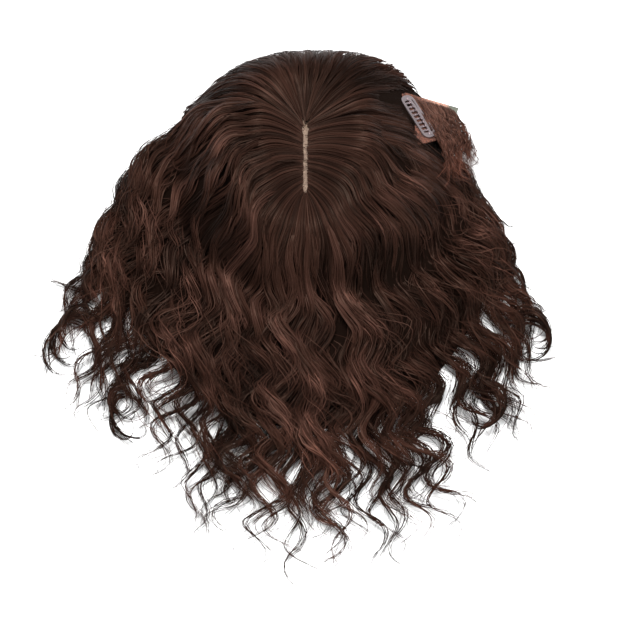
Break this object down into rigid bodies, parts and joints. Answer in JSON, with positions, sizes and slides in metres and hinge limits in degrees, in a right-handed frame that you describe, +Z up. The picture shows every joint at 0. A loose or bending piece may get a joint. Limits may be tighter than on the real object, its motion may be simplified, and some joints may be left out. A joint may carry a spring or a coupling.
{
  "type": "clip-in hair extension",
  "caption": "Clip-in hair topper lying flat: domed net base with a parting strip and snap comb clips, and wavy brown hair fanned out from the part in locks.",
  "frame": {"origin": "on the table under the middle of the lying hairpiece", "axes": "+Z up from the table, +Y towards the rear of the base, so that the long hair points to -Y, +X to the right seen from above with the long hair towards the viewer"},
  "size_m": [0.3364, 0.3554, 0.0497],
  "materials": {
    "hair": "glossy dark brown hair with reddish lighter tips",
    "lace": "fine brown net",
    "parting": "matt skin-coloured strip",
    "clip_steel": "bright silver"
  },
  "bodies": {
    "root": {"lace_base": "lace", "parting_strip": "parting", "snap_clip_right_rear": "clip_steel", "snap_clip_left_rear": "clip_steel", "snap_clip_left_front": "clip_steel", "snap_clip_right_front": "clip_steel", "hair_left": "hair", "hair_tail": "hair", "hair_right": "hair", "hair_crown": "hair"}
  },
  "joints": []
}
